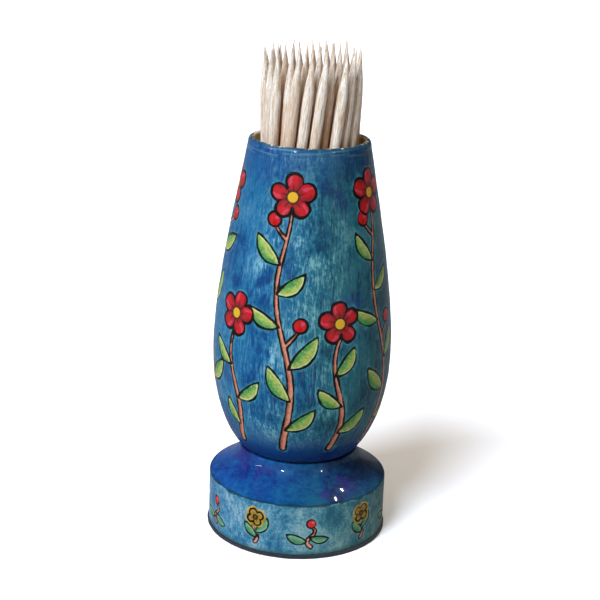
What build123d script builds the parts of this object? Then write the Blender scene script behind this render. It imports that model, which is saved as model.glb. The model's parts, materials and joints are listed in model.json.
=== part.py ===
from build123d import *
import math
import os

# Toothpick dispenser in turned and painted wood: a vase that slides up a fixed post and
# hides the picks, which stand on a tray at the top of the post.
# Millimetres, +Z up, the painted front looks along -Y. The origin is the centre of the
# felt pad's underside. A height without another word is measured from there.

# ---- driving sizes ----

# the foot and the vase are turned from one thickness of round blank
blank_radius = 18.75

# felt pad under the foot
pad_overhang = 0.3
pad_thickness = 0.8

# turned foot, heights measured from its own underside
foot_side_height = 10.65
foot_edge_round = 0.35
foot_height = 17.3
lip_radius = 12.5
cove_rise = 3.2
socket_floor_height = 8.7
post_seat_height = 3.2

# vase, heights measured from its lowest visible edge, the neck
neck_inset = 0.15
neck_gap = 0.5
neck_spread = 0.95
shoulder_inset = 2.2
shoulder_height = 6.9
belly_inset = 0.25
belly_height = 21.0
waist_inset = 2.5
waist_height = 44.0
mouth_radius = 12.1
vase_height = 65.0
mouth_slope = 0.19
rim_wall = 1.1
rim_round = 0.35
well_floor_height = 21.5
tenon_step = 0.75
guide_wall = 1.6
vase_floor_thickness = 4.5

# post, tray and the rubber ring that holds the vase where it is put
post_radius = 5.0
tray_thickness = 3.0
tray_seat_depth = 1.0
tray_edge_chamfer = 0.4
ring_width = 1.9
ring_height = 1.9

# countersunk wood screws
screw_head_radius = 3.2
screw_head_height = 1.9
screw_shank_radius = 1.6
screw_point_length = 2.5
slot_width = 0.8
slot_depth = 0.8
foot_screw_length = 14.0
tray_screw_length = 12.0

# round toothpicks, and how the bundle stands in the well
pick_radius = 1.05
pick_length = 65.0
pick_taper_length = 10.0
pick_tip_radius = 0.12
pick_length_tolerance = 0.45
pick_length_step = 2.4
pick_showing = 18.5
pick_gap = 0.19
lattice_turn = 50.0
bundle_gap = 1.1
bundle_spread = 0.038
bundle_twist = 0.1

# pocket left free at the back of the well, where more picks go in
pocket_half_width = 2.2
pocket_front = 5.9
pocket_depth = 33.6

# clearances
tenon_clearance = 0.1
post_clearance = 0.08
ring_clearance = 0.03
tray_clearance = 0.15
seat_clearance = 0.02
stop_clearance = 0.1
stand_clearance = 0.05
pocket_clearance = 0.12

# how close two edges must be to count as one, and how many heights a pick is tested at
same_edge = 0.001
pocket_steps = 20

# ---- places that follow from them ----

foot_radius = blank_radius
pad_radius = foot_radius + pad_overhang
belly_radius = blank_radius - belly_inset
shoulder_radius = belly_radius - shoulder_inset
waist_radius = belly_radius - waist_inset
neck_radius = lip_radius - neck_inset
foot_bottom = pad_thickness
foot_top = foot_bottom + foot_height
socket_floor = foot_bottom + socket_floor_height
post_foot = foot_bottom + post_seat_height
neck = foot_top + neck_gap
vase_top = neck + vase_height
mouth_bore = mouth_radius - rim_wall
tenon_radius = neck_radius - tenon_step
guide_bore = tenon_radius - guide_wall
socket_radius = tenon_radius + tenon_clearance
cavity_floor = socket_floor + vase_floor_thickness
well_floor = neck + well_floor_height
tray_top = vase_top + pick_showing - pick_length
tray_bottom = tray_top - tray_thickness
tray_radius = guide_bore - tray_clearance
post_top = tray_bottom + tray_seat_depth
lift = tray_bottom - cavity_floor - stop_clearance
groove_outer = post_radius + ring_clearance + ring_width + seat_clearance
ring_middle = (socket_floor + cavity_floor) / 2
pick_floor = tray_top + stand_clearance
bundle_radius = min(mouth_bore - bundle_gap, guide_bore) - pick_radius
bundle_squeeze = bundle_twist / math.hypot(bundle_spread, bundle_twist)
pick_pitch = (2 * pick_radius + pick_gap) / bundle_squeeze


def turned(outline):
    """Solid of revolution about Z of a closed outline given as radius, height."""
    return revolve(Plane.XZ * make_face(outline), axis=Axis.Z)


def disc(radius, low, high):
    """Upright cylinder about Z between two heights."""
    return Pos(0, 0, low) * Cylinder(radius, high - low, align=(Align.CENTER, Align.CENTER, Align.MIN))


def circles(solid, radius, height):
    """The solid's circular edges of one radius at one height."""
    found = []
    for edge in solid.edges().filter_by(GeomType.CIRCLE):
        place = edge.arc_center
        if abs(edge.radius - radius) < same_edge and abs(place.Z - height) < same_edge:
            found.append(edge)
    return found


def countersunk_screw(length):
    """Slotted wood screw, head up, with the top of its head at the origin."""
    point_start = screw_point_length - length
    outline = Polyline(
        (0, 0),
        (screw_head_radius, 0),
        (screw_shank_radius, -screw_head_height),
        (screw_shank_radius, point_start),
        (0, -length),
        (0, 0),
    )
    slot = Pos(0, 0, -slot_depth / 2) * Box(3 * screw_head_radius, slot_width, slot_depth)
    return turned(outline) - slot


def screw_hole(length):
    """The space for a countersunk screw, with its clearance."""
    head = screw_head_radius + seat_clearance
    shank = screw_shank_radius + seat_clearance
    outline = Polyline(
        (0, 0),
        (head, 0),
        (shank, -screw_head_height),
        (shank, -length - seat_clearance),
        (0, -length - seat_clearance),
        (0, 0),
    )
    return turned(outline)


# a screw driven down from the tray, and one driven up from the foot's underside
tray_screw_place = Pos(0, 0, tray_top)
foot_screw_place = Pos(0, 0, foot_bottom) * Rot(180, 0, 0)


def make_pad():
    return disc(pad_radius, 0, pad_thickness)


def make_foot():
    round_off = min(foot_edge_round, 0.4 * foot_side_height)
    side_top = foot_bottom + foot_side_height
    cove_foot = (foot_radius - round_off, side_top + round_off)
    lip = (lip_radius, foot_top)
    outline = Polyline(
        lip,
        (0, foot_top),
        (0, foot_bottom),
        (foot_radius, foot_bottom),
        (foot_radius, side_top),
    )
    outline += TangentArc((foot_radius, side_top), cove_foot, tangent=(0, 1))
    outline += Bezier(cove_foot, (lip_radius, cove_foot[1] + cove_rise), lip)
    foot = turned(outline)
    foot -= disc(socket_radius, socket_floor, foot_top)
    foot -= disc(post_radius + seat_clearance, post_foot, socket_floor)
    foot -= foot_screw_place * screw_hole(foot_screw_length)
    return foot


def make_post():
    post = disc(post_radius, post_foot, post_top)
    post -= tray_screw_place * screw_hole(tray_screw_length)
    post -= foot_screw_place * screw_hole(foot_screw_length)
    return post


def make_tray():
    tray = disc(tray_radius, tray_bottom, tray_top)
    bevel = min(tray_edge_chamfer, 0.3 * tray_thickness)
    tray = chamfer(circles(tray, tray_radius, tray_top), bevel)
    tray -= disc(post_radius + seat_clearance, tray_bottom, post_top)
    tray -= tray_screw_place * screw_hole(tray_screw_length)
    return tray


def make_friction_ring():
    inner = post_radius + ring_clearance
    low = ring_middle - ring_height / 2
    high = ring_middle + ring_height / 2
    return disc(inner + ring_width, low, high) - disc(inner, low, high)


def make_vase():
    silhouette = Spline(
        (neck_radius, neck),
        (shoulder_radius, neck + shoulder_height),
        (belly_radius, neck + belly_height),
        (waist_radius, neck + waist_height),
        (mouth_radius, vase_top),
        tangents=[(neck_spread, 1), (-mouth_slope, 1)],
    )
    underside = Polyline(
        (mouth_radius, vase_top),
        (0, vase_top),
        (0, socket_floor),
        (tenon_radius, socket_floor),
        (tenon_radius, neck),
        (neck_radius, neck),
    )
    vase = turned(silhouette + underside)
    vase -= disc(mouth_bore, well_floor, vase_top)
    vase -= disc(guide_bore, cavity_floor, well_floor)
    vase -= disc(post_radius + post_clearance, socket_floor, cavity_floor)
    groove_half = ring_height / 2 + seat_clearance
    vase -= disc(groove_outer, ring_middle - groove_half, ring_middle + groove_half)
    rim_edges = circles(vase, mouth_radius, vase_top) + circles(vase, mouth_bore, vase_top)
    return fillet(rim_edges, min(rim_round, 0.4 * rim_wall))


def make_pick(length):
    """One toothpick, standing on its lower point at the origin."""
    taper = min(pick_taper_length, 0.45 * length)
    outline = Polyline((pick_tip_radius, length), (0, length), (0, 0), (pick_tip_radius, 0))
    outline += Line((pick_radius, taper), (pick_radius, length - taper))
    outline += TangentArc((pick_radius, taper), (pick_tip_radius, 0), tangent=(0, -1))
    outline += TangentArc((pick_radius, length - taper), (pick_tip_radius, length), tangent=(0, 1))
    return turned(outline)


def lean(spot):
    """How far a pick that crosses the rim at this spot moves sideways per unit of height.

    The bundle is twisted, so it is tightest part of the way down, where two picks are
    closer than at the rim by the factor bundle_squeeze.
    """
    return complex(bundle_spread, bundle_twist) / bundle_radius * spot


def in_pocket(spot):
    """Whether a pick that crosses the rim here would come into the free pocket."""
    reach = pick_radius + pocket_clearance
    for step in range(pocket_steps + 1):
        below_rim = pocket_depth * step / pocket_steps
        place = spot - lean(spot) * below_rim
        beside = abs(place.real) < pocket_half_width + reach
        behind = place.imag > pocket_front - reach
        if beside and behind:
            return True
    return False


def bundle_spots():
    """Where the picks cross the rim, front row first: a turned hexagonal lattice."""
    turn = complex(math.cos(math.radians(lattice_turn)), math.sin(math.radians(lattice_turn)))
    reach = math.ceil(2 * bundle_radius / pick_pitch)
    spots = []
    for row in range(-reach, reach + 1):
        for column in range(-reach, reach + 1):
            along = pick_pitch * (column + row / 2)
            across = pick_pitch * row * math.sqrt(3) / 2
            spot = complex(along, across) * turn
            if abs(spot) <= bundle_radius and not in_pocket(spot):
                spots.append(spot)
    return sorted(spots, key=lambda spot: (round(spot.imag, 3), spot.real))


def place_pick(number, spot):
    """A pick through one spot, standing on the tray."""
    length = pick_length + pick_length_tolerance * math.sin(pick_length_step * number)
    slope = lean(spot)
    bottom = spot + slope * (pick_floor - vase_top)
    stand = Plane(origin=(bottom.real, bottom.imag, pick_floor), z_dir=(slope.real, slope.imag, 1))
    return stand * make_pick(length)


def make_parts():
    parts = {
        "base_pad": make_pad(),
        "base_foot": make_foot(),
        "post": make_post(),
        "foot_screw": foot_screw_place * countersunk_screw(foot_screw_length),
        "tray": make_tray(),
        "tray_screw": tray_screw_place * countersunk_screw(tray_screw_length),
        "friction_ring": make_friction_ring(),
        "vase": make_vase(),
    }
    for number, spot in enumerate(bundle_spots(), start=1):
        parts[f"pick_{number:02d}"] = place_pick(number, spot)
    return parts


os.makedirs("parts", exist_ok=True)
for name, shape in make_parts().items():
    export_step(shape, f"parts/{name}.step")
print(f"vase lift {lift:.2f}, top of the rim {vase_top:.2f}, top of the tray {tray_top:.2f}")
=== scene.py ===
import json
import math

import bpy
import numpy as np
from mathutils import Matrix, Vector


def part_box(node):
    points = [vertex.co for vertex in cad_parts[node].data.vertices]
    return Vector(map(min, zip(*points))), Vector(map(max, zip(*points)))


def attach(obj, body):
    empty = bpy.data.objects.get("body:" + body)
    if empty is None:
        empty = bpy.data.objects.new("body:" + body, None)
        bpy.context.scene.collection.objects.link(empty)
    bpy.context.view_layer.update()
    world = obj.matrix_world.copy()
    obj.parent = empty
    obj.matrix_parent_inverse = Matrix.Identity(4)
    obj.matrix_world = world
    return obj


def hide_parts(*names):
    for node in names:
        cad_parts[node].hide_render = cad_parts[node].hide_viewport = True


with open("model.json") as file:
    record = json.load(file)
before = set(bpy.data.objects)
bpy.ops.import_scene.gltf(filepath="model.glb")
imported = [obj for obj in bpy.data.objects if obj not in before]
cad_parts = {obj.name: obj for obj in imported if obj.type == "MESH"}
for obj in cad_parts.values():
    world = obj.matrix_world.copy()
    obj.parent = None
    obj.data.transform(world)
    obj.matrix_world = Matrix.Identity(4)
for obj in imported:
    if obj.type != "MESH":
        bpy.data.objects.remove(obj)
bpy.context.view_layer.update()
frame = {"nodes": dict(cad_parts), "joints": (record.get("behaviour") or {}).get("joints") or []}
mm = 0.001  # sizes below are in millimetres until a mesh is made
print("frame loaded:", len(frame["nodes"]), "nodes")


# nodes, for geometry, shader and world trees alike


class Wire:
    # an output of a node; arithmetic with it adds math nodes to its tree

    def __init__(self, socket):
        self.socket = socket
        self.tree = socket.id_data

    def __add__(self, other):
        return calc("ADD", self, other)

    def __radd__(self, other):
        return calc("ADD", other, self)

    def __sub__(self, other):
        return calc("SUBTRACT", self, other)

    def __rsub__(self, other):
        return calc("SUBTRACT", other, self)

    def __mul__(self, other):
        return calc("MULTIPLY", self, other)

    def __truediv__(self, other):
        return calc("DIVIDE", self, other)

    def __rtruediv__(self, other):
        return calc("DIVIDE", other, self)

    def __pow__(self, other):
        return calc("POWER", self, other)

    def __abs__(self):
        return calc("ABSOLUTE", self)


def feed(sockets, values):
    for key, value in values.items():
        if isinstance(value, Wire):
            value.tree.links.new(value.socket, sockets[key])
        else:
            sockets[key].default_value = value


def addNode(tree, kind, inputs=None, **settings):
    node = tree.nodes.new(kind)
    for name, value in settings.items():
        setattr(node, name, value)
    feed(node.inputs, inputs or {})
    return node


def add(tree, kind, inputs=None, **settings):
    # a new node's first output
    return Wire(addNode(tree, kind, inputs, **settings).outputs[0])


def wires(node):
    return {socket.name: Wire(socket) for socket in node.outputs}


def calc(operation, *values, clamp=False):
    tree = next(value.tree for value in values if isinstance(value, Wire))
    return add(tree, "ShaderNodeMath", dict(enumerate(values)), operation=operation, use_clamp=clamp)


def stretch(vector, factors):
    return add(vector.tree, "ShaderNodeVectorMath", {0: vector, 1: factors}, operation="MULTIPLY")


def combine(x, y, z):
    return add(x.tree, "ShaderNodeCombineXYZ", {"X": x, "Y": y, "Z": z})


def split(vector):
    return wires(addNode(vector.tree, "ShaderNodeSeparateXYZ", {"Vector": vector}))


def smooth(value, low, high, toLow=0.0, toHigh=1.0):
    if low > high:  # the node wants the lower end first
        low, high, toLow, toHigh = high, low, toHigh, toLow
    inputs = {"Value": value, "From Min": low, "From Max": high, "To Min": toLow, "To Max": toHigh}
    return add(value.tree, "ShaderNodeMapRange", inputs, interpolation_type="SMOOTHSTEP")


def mixColour(factor, first, second, blend="MIX"):
    inputs = {0: factor, 6: first, 7: second}  # the node has other sockets for plain numbers
    node = addNode(factor.tree, "ShaderNodeMix", inputs, data_type="RGBA", blend_type=blend)
    return Wire(node.outputs[2])


def noise(vector, scale, detail=3.0, roughness=0.55, distortion=0.0):
    inputs = {
        "Vector": vector,
        "Scale": scale,
        "Detail": detail,
        "Roughness": roughness,
        "Distortion": distortion,
    }
    return add(vector.tree, "ShaderNodeTexNoise", inputs)


def rgb(red, green, blue):
    def linear(value):
        share = value / 255
        return share / 12.92 if share <= 0.04045 else ((share + 0.055) / 1.055) ** 2.4

    return (linear(red), linear(green), linear(blue), 1.0)


def grey(level):
    return (level, level, level, 1.0)


def socketKind(value):
    if isinstance(value, str):
        return value
    if isinstance(value, tuple):
        return "Color" if len(value) == 4 else "Vector"
    return "Int" if isinstance(value, int) else "Float"


def newGroup(name, kind, inputs, outputs):
    # an input's text names its kind, and any other value is its default
    tree = bpy.data.node_groups.new(name, kind)
    for label, value in inputs.items():
        socket = "NodeSocket" + socketKind(value)
        made = tree.interface.new_socket(label, in_out="INPUT", socket_type=socket)
        if not isinstance(value, str):
            made.default_value = value
    for label, socket in outputs.items():
        tree.interface.new_socket(label, in_out="OUTPUT", socket_type="NodeSocket" + socket)
    start = tree.nodes.new("NodeGroupInput")
    end = tree.nodes.new("NodeGroupOutput")
    return tree, wires(start), end.inputs


def useGroup(group, inputs):
    return wires(addNode(inputs["Vector"].tree, "ShaderNodeGroup", inputs, node_tree=group))


# geometry trees


def gridPlaces(rings, segments):
    # a sheet of quads, with the number of its ring and the turn of its spoke at each point
    spokes = segments + 1
    grid = add(rings.tree, "GeometryNodeMeshGrid", {"Vertices X": rings, "Vertices Y": spokes})
    index = add(rings.tree, "GeometryNodeInputIndex")
    ring = calc("FLOOR", (index + 0.5) / spokes)
    turn = (index - ring * spokes) * (2 * math.pi) / segments
    return grid, ring, turn


def around(radius, turn, height):
    return combine(radius * calc("COSINE", turn), radius * calc("SINE", turn), height)


def keepAttribute(geometry, name, kind, value, domain="POINT"):
    inputs = {"Geometry": geometry, "Name": name, "Value": value}
    return add(geometry.tree, "GeometryNodeStoreNamedAttribute", inputs, data_type=kind, domain=domain)


def placePoints(geometry, places):
    return add(geometry.tree, "GeometryNodeSetPosition", {"Geometry": geometry, "Position": places})


def closeMesh(geometry, given, result):
    # joins the sheet's edges, marks the sharp bends and covers it with its material
    tree = geometry.tree
    closed = add(tree, "GeometryNodeMergeByDistance", {"Geometry": geometry, "Distance": 1e-6})
    flipped = add(tree, "GeometryNodeFlipFaces", {"Mesh": closed})
    bend = wires(addNode(tree, "GeometryNodeInputMeshEdgeAngle"))["Unsigned Angle"]
    sharp = calc("GREATER_THAN", bend, given["Sharp Angle"])
    marked = keepAttribute(flipped, "sharp_edge", "BOOLEAN", sharp, "EDGE")
    soft = add(tree, "GeometryNodeSetShadeSmooth", {"Geometry": marked})
    real = add(tree, "GeometryNodeRealizeInstances", {"Geometry": soft})
    covered = add(tree, "GeometryNodeSetMaterial", {"Geometry": real, "Material": given["Material"]})
    feed(result, {"Geometry": covered})


def makeTurnedTree():
    # an outline goes round the Z axis: X is the radius, Z the height, and Y how uneven it is there
    inputs = {
        "Outline": "Object",
        "Rings": 8,
        "Segments": 64,
        "Unevenness": 0.0,
        "Lump Size": 0.006,
        "Sharp Angle": 0.6,
        "Material": "Material",
    }
    tree, given, result = newGroup("turnedShape", "GeometryNodeTree", inputs, {"Geometry": "Geometry"})
    outline = wires(addNode(tree, "GeometryNodeObjectInfo", {"Object": given["Outline"]}))["Geometry"]
    grid, ring, turn = gridPlaces(given["Rings"], given["Segments"])
    inputs = {"Geometry": outline, "Value": add(tree, "GeometryNodeInputPosition"), "Index": ring}
    sample = add(tree, "GeometryNodeSampleIndex", inputs, data_type="FLOAT_VECTOR", domain="POINT")
    point = split(sample)
    even = around(point["X"], turn, point["Z"])
    swell = (noise(even, 1.0 / given["Lump Size"], 2.0) - 0.5) * given["Unevenness"]
    spot = around(swell * point["Y"] + point["X"], turn, point["Z"])
    moved = placePoints(keepAttribute(grid, "ring", "FLOAT", ring), spot)
    closeMesh(moved, given, result)
    return tree


def makeToothpickTree():
    # a toothpick standing on its lower point at the origin, which keeps its own place in the wood
    inputs = {
        "Length": 0.065,
        "Radius": 0.001,
        "Taper": 0.01,
        "Point": 0.0001,
        "Splinter": 0.0005,
        "Drift": 0.0,
        "Flatness": 0.0,
        "Fibre Depth": 0.00002,
        "Fibre Width": 1.6,
        "Fibre Length": 90.0,
        "Seed": 0.0,
        "Rings": 44,
        "Segments": 18,
        "Sharp Angle": 1.2,
        "Material": "Material",
    }
    tree, given, result = newGroup("toothpickShape", "GeometryNodeTree", inputs, {"Geometry": "Geometry"})
    grid, ring, turn = gridPlaces(given["Rings"], given["Segments"])
    last = given["Rings"] - 1
    inner = calc("DIVIDE", ring - 1, last - 2, clamp=True)
    share = calc("COSINE", inner * math.pi) * -0.5 + 0.5  # rings lie closer towards both points
    height = share * given["Length"]
    toEnd = calc("MINIMUM", height, given["Length"] - height)
    left = 1.0 - calc("DIVIDE", toEnd, given["Taper"], clamp=True)
    coneShare = 1.0 - given["Splinter"] / given["Taper"]
    sharpened = calc("DIVIDE", left, coneShare, clamp=True) ** 1.5
    wide = given["Radius"] - sharpened * (given["Radius"] - given["Point"])
    first = calc("LESS_THAN", ring, 0.5)
    final = calc("GREATER_THAN", ring, last - 0.5)
    opened = 1.0 - (first + final)  # end rings close to a point
    woodSpot = combine(
        calc("COSINE", turn) * given["Fibre Width"],
        calc("SINE", turn) * given["Fibre Width"],
        height * given["Fibre Length"] + given["Seed"],
    )
    rough = (noise(woodSpot, 1.0, 2.0) - 0.5) * given["Fibre Depth"]
    oval = calc("COSINE", turn * 2.0) * given["Flatness"] * sharpened
    radius = (wide + rough) * (1.0 + oval) * opened
    spot = split(around(radius, turn, height))
    drift = left**6.0 * given["Drift"]
    moved = placePoints(grid, combine(spot["X"] + drift, spot["Y"], spot["Z"]))
    grain = combine(spot["X"], spot["Y"], height + given["Seed"])
    closeMesh(keepAttribute(moved, "grain", "FLOAT_VECTOR", grain), given, result)
    return tree


def newObject(name, data):
    made = bpy.data.objects.new(name, data)
    bpy.context.scene.collection.objects.link(made)
    return made


def runTree(tree, name, values):
    # the tree's result as a plain mesh object, with no modifier left on it
    holder = newObject(name + "Holder", bpy.data.meshes.new(name + "Holder"))
    modifier = holder.modifiers.new("shape", "NODES")
    modifier.node_group = tree
    sockets = {item.name: item.identifier for item in tree.interface.items_tree if item.in_out == "INPUT"}
    for label, value in values.items():
        modifier[sockets[label]] = value
    graph = bpy.context.evaluated_depsgraph_get()
    mesh = bpy.data.meshes.new_from_object(holder.evaluated_get(graph), depsgraph=graph)
    bpy.data.objects.remove(holder)
    mesh.name = name
    return newObject(name, mesh)


def turnOutline(name, outline, values, material):
    # outline: rows of radius, unevenness and height, up the outside and down the inside
    mesh = bpy.data.meshes.new(name + "Outline")
    mesh.from_pydata((outline * (mm, 1, mm)).tolist(), [], [])
    guide = newObject(name + "Outline", mesh)
    inputs = {
        "Outline": guide,
        "Rings": len(outline),
        "Segments": values["segments"],
        "Unevenness": values["unevenness"] * mm,
        "Lump Size": values["lumpSize"] * mm,
        "Material": material,
    }
    piece = runTree(turnedTree, name, inputs)
    bpy.data.objects.remove(guide)
    return piece


turnedTree = makeTurnedTree()
toothpickTree = makeToothpickTree()


# outlines, in millimetres

tiny = 0.01  # places closer than this count as one
longestStep = 4.0  # between two rings on a plain wall


def readSpots(mesh):
    spots = np.empty(3 * len(mesh.vertices))
    mesh.vertices.foreach_get("co", spots)
    return spots.reshape(-1, 3) / mm


def frameRows(name):
    # radius and height of every point of a node of the frame
    spots = readSpots(frame["nodes"][name].data)
    return np.hypot(spots[:, 0], spots[:, 1]), spots[:, 2]


def leastAt(wanted, others, place):
    # the least of the wanted values where the others are at one place
    return wanted[np.abs(others - place) < tiny].min()


def line(start, end, step=longestStep):
    # points from start up to, not including, end
    count = max(1, round(math.dist(start, end) / step))
    share = np.arange(count)[:, None] / count
    return np.array(start, dtype=float) + (np.array(end, dtype=float) - np.array(start)) * share


def walls(*corners, step=longestStep):
    # points of straight lines from corner to corner, with the last corner
    lines = [line(start, end, step) for start, end in zip(corners, corners[1:])]
    return np.concatenate([*lines, [corners[-1]]])


def corner(centre, radius, start, end, count=6):
    # an arc from one angle in degrees to another, both included
    turn = np.radians(np.linspace(start, end, count + 1))
    return np.stack([centre[0] + radius * np.cos(turn), centre[1] + radius * np.sin(turn)], axis=1)


def joinOutline(parts):
    # parts of points and their unevenness, as rows of radius, unevenness and height
    rows = []
    for points, weight in parts:
        points = np.atleast_2d(np.asarray(points, dtype=float))
        rows.append(np.stack([points[:, 0], np.broadcast_to(weight, len(points)), points[:, 1]], axis=1))
    return np.concatenate(rows), np.cumsum([0] + [len(part) for part in rows])


def runLength(outline):
    steps = np.hypot(np.diff(outline[:, 0]), np.diff(outline[:, 2]))
    return np.concatenate([[0], np.cumsum(steps)])


# painting: shapes kept at each point as distances in millimetres, below zero inside

farAway = 20.0  # the distance kept where nothing is drawn
paintReach = 4.0  # how far round a shape its distance is kept


def readSurface(piece, outline, start):
    # every point's turn to the right of the front, its radius, and its way along the outline
    spots = readSpots(piece.data)
    rings = np.empty(len(spots))
    piece.data.attributes["ring"].data.foreach_get("value", rings)
    way = runLength(outline)
    return {
        "turn": np.degrees(np.arctan2(spots[:, 0], -spots[:, 1])),
        "radius": np.hypot(spots[:, 0], spots[:, 1]),
        "way": way[np.rint(rings).astype(int)] - way[start],
    }


def chart(surface, turn):
    # millimetres to the right of one turn, and along the outline
    apart = (surface["turn"] - turn + 180) % 360 - 180
    return np.stack([np.radians(apart) * surface["radius"], surface["way"]], axis=1)


def emptyLayers(surface):
    # for each kind of shape and each point, its distance and three other measures of the nearest one
    empty = np.tile([farAway, 0.0, 0.0, 0.0], (len(surface["way"]), 1))
    return {name: empty.copy() for name in ("stem", "leaf", "berry", "blossom")}


def keepNearest(layer, rows, distance, *places):
    closer = distance < layer[rows, 0]
    chosen = rows[closer]
    layer[chosen, 0] = distance[closer]
    for number, place in enumerate(places, start=1):
        layer[chosen, number] = place[closer]


def near(spots, place, size):
    away = np.hypot(spots[:, 0] - place[0], spots[:, 1] - place[1])
    return np.flatnonzero(away < size + paintReach)


def drawStem(layer, spots, path, halfWidths):
    # a tapering stroke; the layer keeps how far along and how far across it a point is
    total = len(path) - 1
    for number in range(total):
        start, end = path[number], path[number + 1]
        rows = near(spots, (start + end) / 2, 0)
        run = end - start
        length = np.hypot(*run)
        offset = spots[rows] - start
        share = np.clip(offset @ run / length**2, 0, 1)
        away = offset - share[:, None] * run
        side = (run[0] * offset[:, 1] - run[1] * offset[:, 0]) / length
        half = halfWidths[number] + (halfWidths[number + 1] - halfWidths[number]) * share
        keepNearest(layer, rows, np.hypot(*away.T) - half, (number + share) / total, side / half)


def drawLeaf(layer, spots, base, lean, length, half, bend):
    # an almond between two arcs, its tip turned by lean degrees from upright
    along = np.array([math.sin(math.radians(lean)), math.cos(math.radians(lean))])
    rows = near(spots, base + along * length / 2, 0.5 * length)
    offset = spots[rows] - base
    forward = offset @ along - length / 2
    side = offset @ np.array([along[1], -along[0]]) + bend * ((2 * forward / length) ** 2 - 1)
    arc = (length**2 / 4 + half**2) / (2 * half)
    distance = np.hypot(forward, np.abs(side) + arc - half) - arc
    keepNearest(layer, rows, distance, 2 * forward / length, side / half)


def drawBlossom(layer, spots, chance, centre, size, petals, turn):
    # petals of their own sizes about an eye; the layer keeps the way from the centre, how far
    # the next petal is and how far across its own petal a point is
    rows = near(spots, centre, size)
    offset = spots[rows] - centre
    reach = np.hypot(*offset.T)
    wedge = math.pi / petals
    middle = size / (1 + math.sin(wedge))
    gaps, sides = [], []
    for number in range(petals):
        lean = math.radians(turn + chance.uniform(-5, 5)) + 2 * wedge * number
        along = offset @ np.array([math.cos(lean), math.sin(lean)])
        across = offset @ np.array([-math.sin(lean), math.cos(lean)])
        far = middle * chance.uniform(0.94, 1.06)
        radius = middle * math.sin(wedge) * chance.uniform(1.0, 1.14)
        flare = 1 + 0.22 * np.clip((far - along) / far, -1, 1)  # narrower towards the eye
        gaps.append(np.hypot((along - far) * 0.92, across * flare) - radius)
        sides.append(across)
    gaps = np.array(gaps)
    order = np.argsort(gaps, axis=0)
    columns = np.arange(len(rows))
    petal, nextPetal = gaps[order[0], columns], gaps[order[1], columns]
    distance = np.minimum(petal, reach - middle * 0.8)
    keepNearest(layer, rows, distance, reach, nextPetal - petal, np.array(sides)[order[0], columns])


def drawBerry(layer, spots, centre, radius):
    rows = near(spots, centre, radius)
    offset = spots[rows] - centre
    keepNearest(layer, rows, np.hypot(*offset.T) - radius, offset[:, 0] / radius, offset[:, 1] / radius)


def keepField(piece, name, values):
    attribute = piece.data.attributes.new(name, "FLOAT", "POINT")
    attribute.data.foreach_set("value", values)


def keepLayers(piece, layers):
    for name, layer in layers.items():
        attribute = piece.data.attributes.new(name, "FLOAT_VECTOR", "POINT")
        attribute.data.foreach_set("vector", layer[:, :3].ravel())
    keepField(piece, "petalSide", layers["blossom"][:, 3])


# shader groups

black = grey(0.0)


def makeBrushedPaint():
    # three colours laid on with a brush: broad patches, long strokes and a fine mottle
    inputs = {
        "Vector": "Vector",
        "Deep": black,
        "Middle": black,
        "Pale": black,
        "Stroke": (1.0, 1.0, 0.12),
        "Patch Size": 10.0,
        "Contrast": 1.0,
        "Paleness": 1.0,
    }
    outputs = {"Colour": "Color", "Strokes": "Float"}
    tree, given, result = newGroup("brushedPaint", "ShaderNodeTree", inputs, outputs)
    spot = given["Vector"]
    patches = noise(spot, 1.0 / given["Patch Size"], 4.0, 0.6, 0.6)
    along = stretch(spot, given["Stroke"])
    strokes = noise(along, 1.0, 5.0, 0.62, 0.25)
    fine = noise(stretch(along, (3.1, 3.1, 4.5)), 1.0, 3.0, 0.7)
    mottle = noise(spot, 1.4, 3.0, 0.65)
    blend = patches * 0.8 + strokes * 0.5 + fine * 0.4 + mottle * 0.3
    level = (blend - 1.0) * given["Contrast"] * 2.3 + 0.5
    low = mixColour(smooth(level, 0.05, 0.6), given["Deep"], given["Middle"])
    full = mixColour(smooth(level, 0.55, 1.15) * given["Paleness"], low, given["Pale"])
    wisps = noise(stretch(along, (3.0, 3.0, 1.9)), 1.0, 2.0, 0.6)
    thin = smooth(wisps, 0.5, 0.7, 0.0, 0.7) * smooth(patches, 0.36, 0.58) * given["Paleness"]
    feed(result, {"Colour": mixColour(thin, full, given["Pale"]), "Strokes": fine * 0.6 + strokes * 0.4})
    return tree


def makeInkedShape():
    # a filled shape with a dark brushed outline, drawn from a distance in millimetres
    inputs = {
        "Vector": "Vector",
        "Distance": farAway,
        "Under": black,
        "Fill": grey(1.0),
        "Ink": black,
        "Cover": 0.95,
        "Spill": 0.0,
        "Line": 0.17,
    }
    outputs = {"Colour": "Color", "Inked": "Float", "Filled": "Float"}
    tree, given, result = newGroup("inkedShape", "ShaderNodeTree", inputs, outputs)
    spot = given["Vector"]
    loose = noise(spot, 0.9, 2.0) - 0.5
    shaky = noise(spot, 0.55, 2.0) - 0.5
    pressure = noise(spot, 0.4, 2.0)
    spill = loose * 0.9 + given["Distance"] - given["Spill"]
    filled = smooth(spill, -0.1, 0.16, 1.0, 0.0) * given["Cover"]
    half = given["Line"] * (pressure * 2.6 - 0.3)
    away = abs(shaky * 0.3 + given["Distance"])
    inked = smooth(away - half, -0.06, 0.07, 0.99, 0.0)
    painted = mixColour(filled, given["Under"], given["Fill"])
    feed(result, {"Colour": mixColour(inked, painted, given["Ink"]), "Inked": inked, "Filled": filled})
    return tree


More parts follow.
